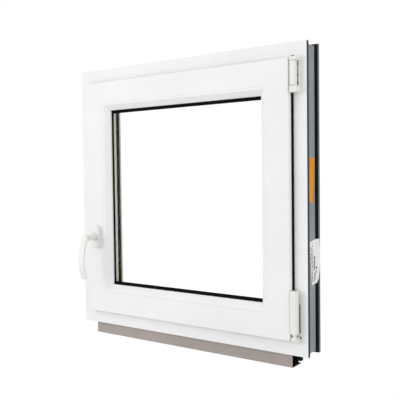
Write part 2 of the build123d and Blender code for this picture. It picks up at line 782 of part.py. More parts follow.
def make_corner_drives():
    """Guides that lead the bars round the two corners on the handle side."""
    u = (plate_u, channel_u - 0.5)
    d = (groove_mid - 5.8, groove_mid + 5.8)
    tunnel_u = (bar_u - 0.3, bar_u + bar_thickness + 0.3)
    tunnel_d = (groove_mid - bar_width / 2 - 0.1, groove_mid + bar_width / 2 + 0.1)
    drives = []
    for end in (-1, 1):
        leg = block(u, d, (0, corner_leg - slack)) - block(tunnel_u, tunnel_d, (-1, corner_leg))
        other = "head" if end > 0 else "sill"
        start = height / 2 - hardware_u
        if end > 0:
            upright = Pos(0, 0, start - corner_leg + slack) * leg
            level = Pos(0, 0, -width / 2 + hardware_u + slack) * leg
        else:
            upright = Pos(0, 0, -start + slack) * leg
            level = Pos(0, 0, width / 2 - hardware_u - corner_leg + slack) * leg
        drives.append(place("handle", upright) + place(other, level))
    keep("corner_drives", *drives)


def bar_span(side):
    """Where a bar starts and ends along its member at rest."""
    if side == "handle":
        return (-height / 2 + hardware_u + travel + 14, height / 2 - hardware_u - 14)
    if side == "head":
        return (-width / 2 + hardware_u + travel + 14, faceplate_span["head"][1] - 4)
    return (faceplate_span["sill"][0] + travel + 4, width / 2 - hardware_u - 14)


def make_bars():
    names = {
        "handle": ("side_drive_bar", "side_locking_cams"),
        "head": ("top_drive_bar", "top_locking_cam"),
        "sill": ("bottom_drive_bar", "bottom_locking_cams"),
    }
    u = (bar_u, bar_u + bar_thickness)
    half = bar_width / 2
    for side, (bar_name, cam_name) in names.items():
        bar = block(u, (groove_mid - half, groove_mid + half), bar_span(side))
        for s in plate_screws[side]:
            bar -= slot((s - 0.4, s + travel + 0.4), 2 * plate_screw["shank_r"] + 0.8,
                        (u[0] - 1, u[1] + 1))
        if side == "handle":
            bar += rack()
        studs = []
        for s in cams[side] + ([tilt_cam] if side == "sill" else []):
            stud = rod((cam_top, groove_mid, s), (1, 0, 0), cam_stud_r, bar_u - cam_top)
            stud += rod((cam_top, groove_mid, s), (1, 0, 0), cam_head_r, cam_head)
            studs.append(place(side, stud))
        keep(bar_name, place(side, bar))
        keep(cam_name, *studs)


pressure = radians(20)
backlash = 0.12                # taken off each flank of the rack and the pinion
pitch = pi * module


def rack():
    """Teeth on the side bar that the pinion moves, in the handle side's own frame."""
    half_teeth = 2
    reach = int(travel / pitch) + 1
    body = block((bar_u + bar_thickness, pitch_u - dedendum),
                 (groove_mid - pinion_width / 2, groove_mid + pinion_width / 2),
                 (handle_s - (half_teeth + 0.5) * pitch, handle_s + (reach + half_teeth) * pitch))
    low = pitch / 4 - backlash - addendum * tan(pressure)
    high = pitch / 4 - backlash + dedendum * tan(pressure)
    for number in range(-half_teeth, reach + half_teeth):
        middle = handle_s + (number + 0.5) * pitch
        points = [
            (pitch_u - dedendum - 0.2, middle - high), (pitch_u + addendum, middle - low),
            (pitch_u + addendum, middle + low), (pitch_u - dedendum - 0.2, middle + high),
        ]
        tooth = Plane(origin=(0, groove_mid, 0), x_dir=(1, 0, 0), z_dir=(0, -1, 0)) \
            * make_face(Polyline(*points, close=True))
        body += extrude(tooth, pinion_width / 2, both=True)
    return body


def pinion_outline():
    """Involute teeth; one tooth points from the axis towards the rack."""
    base_r = pitch_r * cos(pressure)
    outer_r = pitch_r + addendum
    root_r = pitch_r - dedendum
    involute_at_pitch = tan(pressure) - pressure
    half = pi / (2 * pinion_teeth) - backlash / pitch_r
    steps = 4

    def flank_angle(radius):
        roll = sqrt(max((radius / base_r) ** 2 - 1, 0))
        return half + involute_at_pitch - (roll - asin(sqrt(max(1 - (base_r / radius) ** 2, 0))))

    radii = [base_r + (outer_r - base_r) * step / steps for step in range(steps + 1)]
    profile = [(root_r, flank_angle(base_r))] + [(radius, flank_angle(radius)) for radius in radii]
    points = []
    for tooth in range(pinion_teeth):
        middle = pi + 2 * pi * tooth / pinion_teeth
        for radius, angle in profile:
            points.append((radius * cos(middle - angle), radius * sin(middle - angle)))
        for radius, angle in reversed(profile):
            points.append((radius * cos(middle + angle), radius * sin(middle + angle)))
    return make_face(Polyline(*points, close=True))


def spindle_plane(d):
    """A plane across the spindle at a depth; its x is the row's x and its y is up."""
    return Plane(origin=(-side_x + handle_u, y_at(d), bottom_z + handle_height),
                 x_dir=(1, 0, 0), z_dir=(0, -1, 0))


def make_gear():
    front = groove_mid + pinion_width / 2
    pinion = extrude(spindle_plane(front) * pinion_outline(), pinion_width)
    hub = extrude(spindle_plane(housing_d[1]) * Circle(hub_r), housing_d[1] - housing_d[0])
    square = Rectangle(spindle + 0.2, spindle + 0.2)
    pinion = pinion + hub - extrude(spindle_plane(housing_d[1] + 1) * square, 20)
    keep("drive_pinion", pinion)
    s = (handle_s - housing_half, handle_s + housing_half)
    housing = block(housing_u, housing_d, s)
    cavity_half = pitch_r + addendum + 1
    housing -= block((housing_u[0] - 1, housing_u[1] - cheek),
                     (housing_d[0] + cheek, housing_d[1] - cheek),
                     (handle_s - cavity_half, handle_s + cavity_half))
    housing -= rod((handle_u, housing_d[0] - 1, handle_s), (0, 1, 0), hub_r + running, 20)
    for head in handle_screw_heads():
        housing -= screw_hole(head, **handle_screw)
    keep("gear_housing", place("handle", housing))


# ------------------------------------------------------------ handle

neck_r = 8.0
base_depth = 4.5


def make_rosette():
    base = spindle_plane(-sash_proud)
    inner = RectangleRounded(rosette_width - 5, rosette_height - 5, 7)
    plate = extrude(base * inner, base_depth)
    outer = extrude(base * RectangleRounded(rosette_width, rosette_height, 9), rosette_depth)
    outer = fillet(outer.edges().group_by(Axis.Y)[0], 3.0)
    hollow = RectangleRounded(rosette_width - 4.6, rosette_height - 4.6, 7.2)
    outer -= extrude(spindle_plane(-sash_proud + 1) * hollow, base_depth + 3.2)
    bore = extrude(spindle_plane(1) * Circle(neck_r + 2 * running), 60)
    collar = extrude(base * Circle(neck_r + 2.4), rosette_depth - 1)
    plate = plate + collar - bore
    outer -= extrude(spindle_plane(1) * Circle(neck_r + 2.6), 60)
    heads = [place("handle", screw(head, **handle_screw)) for head in handle_screw_heads()]
    for head in handle_screw_heads():
        plate -= place("handle", screw_hole(head, **handle_screw))
    keep("handle_base", plate)
    keep("rosette_cover", outer)
    keep("handle_screws", *heads)


def make_lever():
    """A bowed lever that hangs from its neck; its side view is drawn and widened."""
    side = Plane(origin=(-side_x + handle_u, y_at(-sash_proud), bottom_z + handle_height),
                 x_dir=(0, -1, 0), z_dir=(1, 0, 0))
    top_out = lever_out - 22
    tip_out = lever_out - 10
    thick = 9.0
    bow = 0.57 * lever_drop
    front = ThreePointArc((top_out, -neck_r), (lever_out, bow), (tip_out, lever_drop))
    tip = Line((tip_out, lever_drop), (tip_out - 7, lever_drop))
    back = ThreePointArc((tip_out - 7, lever_drop), (lever_out - thick, bow), (top_out - thick, 0))
    close = Polyline((top_out - thick, 0), (top_out - thick, -neck_r), (top_out, -neck_r))
    grip = extrude(side * make_face(front + tip + back + close), lever_width / 2, both=True)
    long_edges = grip.edges().filter_by(lambda edge: edge.length > 0.6 * lever_drop)
    grip = fillet(long_edges, 3.0)
    neck = extrude(spindle_plane(-sash_proud) * Circle(neck_r), top_out - 3)
    square = Rectangle(spindle + 0.1, spindle + 0.1)
    hole = extrude(spindle_plane(-sash_proud + 1) * square, top_out - 7)
    keep("handle_lever", grip + neck - hole)
    reach = sash_proud + top_out - 10
    keep("handle_spindle", extrude(spindle_plane(housing_d[1]) * Rectangle(spindle, spindle),
                                   housing_d[1] + reach))


# ------------------------------------------------------------ build

make_frame()
make_stop_gasket()
make_drain_caps()
make_sill_profile()
make_labels()
make_strikers()
make_stay_bearing()
make_corner_bearing()
make_corner_pin()
make_sash_band()
make_covers()
make_stay_arm()
make_sash()
make_beads()
make_glazing()
make_overlap_gasket()
make_faceplates()
make_corner_drives()
make_bars()
make_gear()
make_rosette()
make_lever()

os.makedirs("parts", exist_ok=True)
for name, solids in parts.items():
    shape = solids[0] if len(solids) == 1 else Compound(solids)
    export_step(shape, f"parts/{name}.step")
print(len(parts), "nodes,", sum(len(solids) for solids in parts.values()), "solids")
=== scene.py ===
import json
import random
from math import cos, pi, radians, sin, tan

import bmesh
import bpy
from mathutils import Matrix, Vector

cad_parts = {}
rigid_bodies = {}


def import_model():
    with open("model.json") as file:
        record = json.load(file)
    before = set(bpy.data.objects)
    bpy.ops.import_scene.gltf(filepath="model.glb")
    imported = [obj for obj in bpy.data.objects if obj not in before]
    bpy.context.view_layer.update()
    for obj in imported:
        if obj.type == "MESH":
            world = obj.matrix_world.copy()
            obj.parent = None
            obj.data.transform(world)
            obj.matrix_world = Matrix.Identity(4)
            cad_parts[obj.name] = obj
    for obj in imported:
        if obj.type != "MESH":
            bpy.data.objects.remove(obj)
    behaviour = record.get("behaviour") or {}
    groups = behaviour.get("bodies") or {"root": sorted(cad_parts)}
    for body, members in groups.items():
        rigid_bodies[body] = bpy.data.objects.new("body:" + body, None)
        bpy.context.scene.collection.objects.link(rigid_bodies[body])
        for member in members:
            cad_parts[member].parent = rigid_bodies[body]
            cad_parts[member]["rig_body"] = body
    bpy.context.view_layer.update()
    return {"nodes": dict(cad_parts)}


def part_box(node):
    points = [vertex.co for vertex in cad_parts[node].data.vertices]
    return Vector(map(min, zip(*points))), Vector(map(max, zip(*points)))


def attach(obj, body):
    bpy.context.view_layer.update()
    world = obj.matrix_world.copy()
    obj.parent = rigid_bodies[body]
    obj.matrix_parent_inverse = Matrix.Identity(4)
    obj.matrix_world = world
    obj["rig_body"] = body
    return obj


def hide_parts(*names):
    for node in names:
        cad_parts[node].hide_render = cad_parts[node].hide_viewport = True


# Tilt-and-turn casement window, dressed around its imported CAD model. Lengths
# are in metres in the row frame: +X right, -Y to the room, +Z up. In sections
# u is the distance in from the frame's outer edge and d the depth behind the
# frame's room-side face, both in millimetres.

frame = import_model()
scene = bpy.context.scene
MM = 0.001

jamb_low, jamb_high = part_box("frame_jamb_hinge")
HALF_WIDTH = jamb_high.x
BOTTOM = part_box("frame_sill")[0].z
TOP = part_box("frame_head")[1].z
FACE_Y = jamb_low.y                            # frame's room-side face
MIDDLE_Z = (BOTTOM + TOP) / 2


def inset(point, side):
    """u of a point for the side of the window that it is on."""
    if side in ("head", "top"):
        return (TOP - point.z) / MM
    if side in ("sill", "bottom"):
        return (point.z - BOTTOM) / MM
    return (HALF_WIDTH - abs(point.x)) / MM


def depth(point):
    return (point.y - FACE_Y) / MM


def inward(side):
    """Unit vector towards the middle of the window from a side."""
    return {
        "head": Vector((0, 0, -1)), "sill": Vector((0, 0, 1)),
        "hinge": Vector((-1, 0, 0)), "handle": Vector((1, 0, 0)),
    }[side]


# ------------------------------------------------------------ camera

AZIMUTH, ELEVATION, ROLL = radians(36.085), radians(2.188), radians(-0.695)
EYE = Vector((0.9825, -1.3033, 0.4373))
FOCAL_LENGTH, SENSOR_WIDTH = 57.36, 36.0       # millimetres
back = Vector((sin(AZIMUTH) * cos(ELEVATION), -cos(AZIMUTH) * cos(ELEVATION), sin(ELEVATION)))
level = Vector((cos(AZIMUTH), sin(AZIMUTH), 0))
upright = back.cross(level)
right = cos(ROLL) * level + sin(ROLL) * upright
up = cos(ROLL) * upright - sin(ROLL) * level
camera_data = bpy.data.cameras.new("camera")
camera_data.lens, camera_data.sensor_width = FOCAL_LENGTH, SENSOR_WIDTH
camera_data.clip_start, camera_data.clip_end = 0.05, 50
camera = bpy.data.objects.new("camera", camera_data)
scene.collection.objects.link(camera)
camera.matrix_world = Matrix((
    (right.x, up.x, back.x, EYE.x), (right.y, up.y, back.y, EYE.y),
    (right.z, up.z, back.z, EYE.z), (0, 0, 0, 1),
))
scene.camera = camera


# ------------------------------------------------------------ materials

# Depths of the bump, in metres
PLASTIC_GRAIN, MOULDED_GRAIN, FOIL_GRAIN = 0.000012, 0.00002, 0.00004
METAL_GRAIN, RUBBER_GRAIN, VENT_DEPTH, FILM_RIPPLE = 0.00003, 0.00003, 0.00006, 0.00015


def feed(tree, socket, value):
    """Link a socket to another one, or give it a value."""
    if isinstance(value, bpy.types.NodeSocket):
        tree.links.new(value, socket)
    else:
        socket.default_value = value


class Nodes:
    """Small helper that adds nodes to a material and links them."""

    def __init__(self, name):
        self.material = bpy.data.materials.new(name)
        self.material.use_nodes = True
        self.tree = self.material.node_tree
        self.shader = self.tree.nodes["Principled BSDF"]
        self.where = self.tree.nodes.new("ShaderNodeTexCoord").outputs["Object"]

    def add(self, kind, inputs=None, **settings):
        node = self.tree.nodes.new("ShaderNode" + kind)
        for key, value in settings.items():
            setattr(node, key, value)
        for key, value in (inputs or {}).items():
            feed(self.tree, node.inputs[key], value)
        return node

    def noise(self, scale, stretch=(1, 1, 1), *, detail):
        """Noise in the row frame; scale is per metre and stretch slows it down along an axis."""
        mapping = self.add("Mapping", {"Vector": self.where, "Scale": [1 / s for s in stretch]})
        texture = self.add("TexNoise", {
            "Vector": mapping.outputs["Vector"], "Scale": scale, "Detail": detail,
        })
        return texture.outputs["Fac"]

    def ramp(self, value, low, high):
        """A value from 0.35 to 0.65 spread from low to high."""
        node = self.add("MapRange", {
            "Value": value, "From Min": 0.35, "From Max": 0.65, "To Min": low, "To Max": high,
        })
        return node.outputs["Result"]

    def blend(self, value, first, second):
        """A colour between two; inputs 6 and 7 and output 2 are the node's colour sockets."""
        node = self.add("Mix", {"Factor": value, 6: first, 7: second}, data_type="RGBA")
        return node.outputs[2]

    def put(self, socket, value):
        feed(self.tree, self.shader.inputs[socket], value)

    def bump(self, height, distance, strength, before=None):
        inputs = {"Height": height, "Distance": distance, "Strength": strength}
        if before is not None:
            inputs["Normal"] = before
        return self.add("Bump", inputs).outputs["Normal"]


def plastic(name, light, dark, rough, axis="z", grain=PLASTIC_GRAIN, coat=0.0):
    """Extruded or moulded plastic: slow changes of tone, fine lines along its length."""
    nodes = Nodes(name)
    along = {"x": (40, 1, 1), "z": (1, 1, 40), "none": (1, 1, 1)}[axis]
    tone = nodes.noise(7, detail=2)
    lines = nodes.noise(420, along, detail=2)
    skin = nodes.noise(2600, detail=2)
    nodes.put("Base Color", nodes.blend(nodes.ramp(tone, 0, 1), light, dark))
    nodes.put("Roughness", nodes.ramp(lines, rough - 0.05, rough + 0.06))
    nodes.put("Normal", nodes.bump(skin, grain, 0.6, nodes.bump(lines, grain, 0.5)))
    nodes.put("Specular IOR Level", 0.45)
    if coat:
        nodes.put("Coat Weight", coat)
        nodes.put("Coat Roughness", 0.12)
    return nodes.material


def metal(name, light, dark, rough, brush=(1, 1, 12), metallic=0.9):
    """Plated or cast metal with brush lines and cloudy plating."""
    nodes = Nodes(name)
    cloud = nodes.noise(60, detail=4)
    lines = nodes.noise(1500, brush, detail=2)
    nodes.put("Base Color", nodes.blend(nodes.ramp(cloud, 0, 1), light, dark))
    nodes.put("Metallic", metallic)
    nodes.put("Roughness", nodes.ramp(lines, rough - 0.08, rough + 0.1))
    nodes.put("Normal", nodes.bump(lines, METAL_GRAIN, 0.5))
    return nodes.material


def rubber(name, colour, light):
    """Matt black rubber with a slight bloom."""
    nodes = Nodes(name)
    bloom = nodes.noise(90, detail=4)
    skin = nodes.noise(3500, detail=2)
    nodes.put("Base Color", nodes.blend(nodes.ramp(bloom, 0, 1), colour, light))
    nodes.put("Roughness", nodes.ramp(bloom, 0.5, 0.7))
    nodes.put("Normal", nodes.bump(skin, RUBBER_GRAIN, 0.7))
    nodes.put("Specular IOR Level", 0.12)
    return nodes.material


def glass(name):
    """Clear glass with a faint green."""
    nodes = Nodes(name)
    cloud = nodes.noise(3, detail=1)
    nodes.put("Base Color", nodes.blend(
        nodes.ramp(cloud, 0, 1), (0.985, 0.995, 0.99, 1), (0.975, 0.99, 0.985, 1)))
    nodes.put("Transmission Weight", 1.0)
    nodes.put("Roughness", 0.0)
    nodes.put("IOR", 1.15)                  # low, so that the panes mirror little
    return nodes.material


def spacer_metal(name):
    """Warm aluminium, ribbed by the row of small vents that face the cavity."""
    nodes = Nodes(name)
    cloud = nodes.noise(120, detail=3)
    nodes.put("Base Color", nodes.blend(
        nodes.ramp(cloud, 0, 1), (0.86, 0.80, 0.66, 1), (0.78, 0.73, 0.60, 1)))
    nodes.put("Metallic", 0.1)
    nodes.put("Roughness", nodes.ramp(cloud, 0.32, 0.46))
    wave = nodes.add("TexWave", {"Vector": nodes.where, "Scale": 45.0},
                     bands_direction="DIAGONAL")
    nodes.put("Normal", nodes.bump(wave.outputs["Fac"], VENT_DEPTH, 0.4))
    return nodes.material


def film(name, light, dark, rough):
    """Printed self-adhesive film, a little wavy."""
    nodes = Nodes(name)
    nodes.put("Specular IOR Level", 0.2)
    cloud = nodes.noise(45, detail=2)
    ripple = nodes.noise(160, detail=2)
    nodes.put("Base Color", nodes.blend(nodes.ramp(cloud, 0, 1), light, dark))
    nodes.put("Roughness", nodes.ramp(ripple, rough - 0.08, rough + 0.08))
    nodes.put("Normal", nodes.bump(ripple, FILM_RIPPLE, 0.35))
    return nodes.material


WHITE, WHITE_LOW = (0.83, 0.83, 0.835, 1), (0.80, 0.80, 0.808, 1)
CREAM, CREAM_LOW = (0.80, 0.79, 0.755, 1), (0.765, 0.755, 0.72, 1)
CORE, CORE_LOW = (0.30, 0.33, 0.35, 1), (0.25, 0.275, 0.29, 1)
FOIL, FOIL_LOW = (0.052, 0.056, 0.062, 1), (0.042, 0.046, 0.051, 1)
FINISH = {
    "white_x": plastic("white_pvc_level", WHITE, WHITE_LOW, 0.34, "x"),
    "white_z": plastic("white_pvc_upright", WHITE, WHITE_LOW, 0.34, "z"),
    "bead_x": plastic("bead_pvc_level", WHITE, WHITE_LOW, 0.30, "x"),
    "bead_z": plastic("bead_pvc_upright", WHITE, WHITE_LOW, 0.30, "z"),
    "core_x": plastic("grey_core_level", CORE, CORE_LOW, 0.5, "x"),
    "core_z": plastic("grey_core_upright", CORE, CORE_LOW, 0.5, "z"),
    "rail": plastic("grey_rail", (0.17, 0.195, 0.205, 1), (0.14, 0.16, 0.17, 1), 0.5),
    "edge": plastic("dark_flange_edge", (0.048, 0.048, 0.047, 1), (0.04, 0.041, 0.042, 1), 0.55),
    # painted shade: near-black colour for the groove's faces and the rail's room side, standing
    # for the shadow in the groove
    "groove": plastic("groove_painted_shade", (0.014, 0.018, 0.024, 1), (0.009, 0.012, 0.017, 1), 0.7),
    "foil_x": plastic("anthracite_foil_level", FOIL, FOIL_LOW, 0.46, "x", FOIL_GRAIN),
    "foil_z": plastic("anthracite_foil_upright", FOIL, FOIL_LOW, 0.46, "z", FOIL_GRAIN),
    "taupe": plastic("taupe_pvc", (0.385, 0.335, 0.31, 1), (0.345, 0.30, 0.277, 1), 0.5, "x"),
    # painted shade: near-black colour on the sill profile's ends, standing for the shadow in its
    # hollow chambers
    "dark": plastic("chambers_painted_shade", (0.02, 0.017, 0.015, 1), (0.012, 0.011, 0.010, 1), 0.6, "x"),
    # painted shade: the white sash leg's face seen behind the panes, coloured purple-black
    "shade": plastic("leg_edge_painted_shade", (0.022, 0.016, 0.026, 1), (0.014, 0.010, 0.017, 1), 0.6),
    "cover": plastic("cover_plastic", CREAM, CREAM_LOW, 0.38, "none", MOULDED_GRAIN),
    "cap": plastic("cap_plastic", (0.055, 0.058, 0.062, 1), (0.045, 0.048, 0.052, 1), 0.5, "none"),
    "block": plastic("block_plastic", (0.12, 0.22, 0.42, 1), (0.10, 0.19, 0.38, 1), 0.5, "none"),
    "handle": plastic("handle_lacquer", (0.83, 0.825, 0.80, 1), (0.80, 0.795, 0.77, 1), 0.3,
                      "none", MOULDED_GRAIN, 0.35),
    "zinc": metal("zinc_plate", (0.60, 0.61, 0.60, 1), (0.50, 0.51, 0.51, 1), 0.36),
    "olive": metal("passivated_zinc", (0.30, 0.30, 0.255, 1), (0.25, 0.25, 0.21, 1), 0.45,
                   metallic=0.45),
    "cast": metal("painted_cast_bearing", (0.79, 0.785, 0.765, 1), (0.74, 0.735, 0.715, 1), 0.42,
                  metallic=0.0, brush=(1, 1, 1)),
    "screw": metal("screw_zinc", (0.45, 0.45, 0.44, 1), (0.36, 0.36, 0.35, 1), 0.34, (1, 1, 1)),
    "steel": metal("galvanised_section", (0.52, 0.54, 0.56, 1), (0.42, 0.44, 0.46, 1), 0.45),
    "rubber": rubber("black_gasket", (0.003, 0.003, 0.0035, 1), (0.006, 0.006, 0.007, 1)),
    "seal": rubber("edge_sealant", (0.018, 0.014, 0.018, 1), (0.028, 0.022, 0.027, 1)),
    "glass": glass("clear_glass"),
    "spacer": spacer_metal("spacer_aluminium"),
    "label": film("label_film", (0.84, 0.84, 0.83, 1), (0.78, 0.78, 0.775, 1), 0.5),
    "print": film("label_print", (0.10, 0.10, 0.11, 1), (0.16, 0.15, 0.16, 1), 0.55),
    "sticker": film("orange_film", (0.80, 0.30, 0.004, 1), (0.72, 0.26, 0.003, 1), 0.6),
}


# ------------------------------------------------------------ pieces

def finish_mesh(obj, bevel=0.0, segments=2, angle=35.0):
    """Smooth shading with sharp edges over an angle, and a small round on those edges."""
    obj.data.shade_smooth()
    obj.data.set_sharp_from_angle(angle=radians(angle))
    if bevel:
        round_edges = obj.modifiers.new("round", "BEVEL")
        round_edges.width, round_edges.segments = bevel, segments
        round_edges.limit_method, round_edges.angle_limit = "ANGLE", radians(angle)
        round_edges.harden_normals = True
        round_edges.use_clamp_overlap = True


def piece(name, body, slot, nodes, verts, faces, finish, bevel=0.0, segments=2, angle=35.0):
    """A new mesh piece that rides on a body and stands for CAD nodes."""
    mesh = bpy.data.meshes.new(name)
    mesh.from_pydata(verts, [], faces)
    mesh.validate()
    obj = bpy.data.objects.new(name, mesh)
    scene.collection.objects.link(obj)
    for key in [finish] if isinstance(finish, str) else finish:
        mesh.materials.append(FINISH[key])
    finish_mesh(obj, bevel, segments, angle)
    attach(obj, body)
    if nodes:
        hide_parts(*nodes)
    return obj


WELD, FLAT = 2e-6, radians(0.6)                # vertices this near and faces this flat are joined


def rework(name, slot, finish, bevel=0.0003, segments=2, angle=35.0, chooser=None, move=None,
           cut=None):
    """A CAD node's own shape, welded, with its edges rounded.

    chooser gives a face's material, move may shift a vertex and cut is a height
    at which faces are divided.
    """
    node = frame["nodes"][name]
    bm = bmesh.new()
    bm.from_mesh(node.data)
    bmesh.ops.remove_doubles(bm, verts=bm.verts, dist=WELD)
    bmesh.ops.dissolve_limit(bm, angle_limit=FLAT, verts=bm.verts, edges=bm.edges)
    if cut:
        bmesh.ops.bisect_plane(bm, geom=bm.verts[:] + bm.edges[:] + bm.faces[:],
                               plane_co=(0, 0, cut), plane_no=(0, 0, 1), dist=1e-6)
    bm.verts.index_update()
    verts = [move(v.co.copy()) if move else v.co.copy() for v in bm.verts]
    faces = [[v.index for v in f.verts] for f in bm.faces]
    bm.free()
    obj = piece(name + "_skin", node["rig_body"], slot, [name], verts, faces, finish,
                bevel, segments, angle)
    if chooser:
        for polygon in obj.data.polygons:
            polygon.material_index = chooser(polygon.center, polygon.normal)
    return obj


# Frame and sash members

FRAME = {"head": "frame_head", "sill": "frame_sill", "hinge": "frame_jamb_hinge",
         "handle": "frame_jamb_handle"}
SASH = {"head": "sash_top", "sill": "sash_bottom", "hinge": "sash_stile_hinge",
        "handle": "sash_stile_handle"}
BEAD = {"head": "bead_top", "sill": "bead_bottom", "hinge": "bead_hinge",
        "handle": "bead_handle"}


OUTER_ZONE, REAR = 12, 69.5                    # u of the outer edge's faces and d where they end
FLANGE_BACK = 9.2
GROOVE_START, GROOVE_END, GROOVE_U = 47.9, 54.1, 5.6
RAIL_U, RAIL_START, RAIL_END = 5, 50, 55
FOIL_START, EXTERIOR_U = 52.3, 60              # foil faces the outside from here on
SASH_FOIL_START, LEG_U, LEG_START = 44, 100, 27.5


def axis_of(side):
    """The axis that a side's members run along."""
    return "x" if side in ("head", "sill") else "z"


def frame_finish(side):
    """Chooser of a frame member's materials.

    0 white, 1 core (the web), 2 flange edge, 3 painted shade of the groove, 4 foil, 5 rail.
    """
    inner = inward(side)

    def choose(centre, normal):
        u, d = inset(centre, side), depth(centre)
        across, rear = normal.dot(inner), normal.y
        if u < OUTER_ZONE and across < 0.5 and d < REAR and rear > -0.6:
            if d < FLANGE_BACK:
                return 2
            # the groove's faces get near-black painted shade
            if GROOVE_START < d < GROOVE_END and u > GROOVE_U:
                return 3
            return 5 if u < RAIL_U else 1
        if u < OUTER_ZONE and RAIL_START < d < RAIL_END and rear < -0.6:
            return 3                           # rail's room side, painted near-black as the groove's shade
        if d > FOIL_START and (rear > 0.3 or u > EXTERIOR_U):
            return 4
        return 0

    return choose


def sash_finish(side):
    """Chooser of a sash member's materials: 0 white, 1 foil, 2 painted shade on the leg's edge."""
    def choose(centre, normal):
        u, d = inset(centre, side), depth(centre)
        if u > LEG_U and d > LEG_START and normal.y < 0.3:
            return 2                           # edge of the exterior leg, by the glass: its white face painted near-black as shade
        if d > SASH_FOIL_START and normal.y > 0.3:
            return 1
        return 0

    return choose


for side, name in FRAME.items():
    axis = axis_of(side)
    rework(name, "frame_pvc",
           ["white_" + axis, "core_" + axis, "edge", "groove", "foil_" + axis, "rail"],
           0.0005, 2, 40, frame_finish(side))
for side, name in SASH.items():
    axis = axis_of(side)
    rework(name, "sash_pvc", ["white_" + axis, "foil_" + axis, "shade"],
           0.0006, 2, 40, sash_finish(side))


# Beads and the gasket in front of the glass

SASH_FRONT, BEAD_U = -18.0, 94.0               # d of the sash's face, u where the beads start
BEAD_BACK, GLASS_FRONT = -4, -0.02             # d of the beads' rear and of the gasket's
LEVEL_TIP, LIP_TIP = 113.4, 121.6              # u of the level beads' and the gasket's tips
UPRIGHT_TIP = {"handle": 118.0, "hinge": 111.0}
HINGE_LIP_TIP = 114.0                          # the gasket hardly shows on the hinge side
LIP_ROOT = 103
SEAM = 0.08                                    # gap at a bead's mitre, in millimetres
ARC_STEPS = 5


def rounded(points, rounds):
    """A section's points with some corners replaced by arcs."""
    result = []
    for number, point in enumerate(points):
        here = Vector(point)
        if number not in rounds:
            result.append(here)
            continue
        first = (Vector(points[number - 1]) - here).normalized()
        last = (Vector(points[(number + 1) % len(points)]) - here).normalized()
        half = first.angle(last) / 2
        centre = here + (first + last).normalized() * rounds[number] / sin(half)
        start = here + first * rounds[number] / tan(half) - centre
        end = here + last * rounds[number] / tan(half) - centre
        for step in range(ARC_STEPS + 1):
            share = step / ARC_STEPS
            arc = start * (1 - share) + end * share
            result.append(centre + arc.normalized() * rounds[number])
    return result


def on_side(side, u, d, s):
    """Row point of a section point u, d at s along a side."""
    middle = Vector((0, FACE_Y, MIDDLE_Z))
    reach = HALF_WIDTH - u * MM
    inner = inward(side)
    along = Vector((0, 0, 1)) if inner.x else Vector((1, 0, 0))
    return middle - inner * reach + along * s + Vector((0, d * MM, 0))


def upright_u(u, side):
    """u on an upright bead of the point that has a given u on a level bead."""
    return BEAD_U + (u - BEAD_U) * (UPRIGHT_TIP[side] - BEAD_U) / (LEVEL_TIP - BEAD_U)


def mitred_bar(points, side):
    """Vertices and faces of a bead along a side; the upright beads differ in width."""
    verts, count = [], len(points)
    for end in (-1, 1):
        for u, d in points:
            if inward(side).x:
                own, other = upright_u(u, side), u
            else:
                own, other = u, upright_u(u, "hinge" if end > 0 else "handle")
            verts.append(on_side(side, own, d, end * (HALF_WIDTH - (other + SEAM) * MM)))
    faces = [[k, (k + 1) % count, count + (k + 1) % count, count + k] for k in range(count)]
    faces += [list(range(count - 1, -1, -1)), list(range(count, 2 * count))]
    return verts, outward(verts, faces)


def closed_ring(points):
    """Vertices and faces of a section that runs round the whole window."""
    verts, count = [], len(points)
    for x, z in ((-1, -1), (1, -1), (1, 1), (-1, 1)):
        for u, d in points:
            reach = HALF_WIDTH - u * MM
            level = HALF_WIDTH - min(u, HINGE_LIP_TIP) * MM if x > 0 else reach
            verts.append(Vector((x * level, FACE_Y + d * MM, MIDDLE_Z + z * reach)))
    faces = []
    for corner in range(4):
        here, there = corner * count, (corner + 1) % 4 * count
        faces += [[here + k, here + (k + 1) % count, there + (k + 1) % count, there + k]
                  for k in range(count)]
    return verts, outward(verts, faces)


def outward(verts, faces):
    """Faces turned so that their normals point out of the closed shape."""
    bm = bmesh.new()
    made = [bm.verts.new(v) for v in verts]
    for face in faces:
        bm.faces.new([made[k] for k in face])
    bm.verts.index_update()
    bmesh.ops.recalc_face_normals(bm, faces=bm.faces)
    result = [[v.index for v in f.verts] for f in bm.faces]
    bm.free()
    return result


bead_points = rounded([
    (BEAD_U + 0.15, SASH_FRONT + 0.12), (BEAD_U + 5, SASH_FRONT + 0.12), (LEVEL_TIP, -8),
    (LEVEL_TIP, BEAD_BACK), (BEAD_U, BEAD_BACK), (BEAD_U, SASH_FRONT + 1.0),
], {0: 0.4, 1: 6.0, 2: 1.5})
for side, name in BEAD.items():
    piece(name + "_skin", "sash", "bead_pvc", [name], *mitred_bar(bead_points, side),
          "bead_" + axis_of(side), angle=25)

lip_points = rounded([
    (LIP_ROOT, BEAD_BACK + 0.1), (LEVEL_TIP - 0.2, BEAD_BACK + 0.1), (LEVEL_TIP + 1.5, -1.8),
    (LIP_TIP, -1.3), (LIP_TIP, GLASS_FRONT), (LIP_ROOT, GLASS_FRONT),
], {2: 1.0, 3: 0.5})
piece("inner_glazing_gasket_skin", "sash", "gasket_rubber", ["inner_glazing_gasket"],
      *closed_ring(lip_points), "rubber", angle=30)


# Nodes that keep their CAD shape, with rounded edges

SILL_FACE = 6                                  # depth within which the sill profile shows taupe
CORNER_BASE_TOP = BOTTOM + 0.0545


def sill_finish(centre, normal):
    """0 taupe face, 1 near-black painted shade of the hollow chambers, on the ends and all other
    faces.
    """
    return 0 if normal.y < -0.6 and depth(centre) < SILL_FACE else 1


def corner_finish(centre, normal):
    """0 painted base, 1 bare metal above it."""
    return 1 if centre.z > CORNER_BASE_TOP else 0


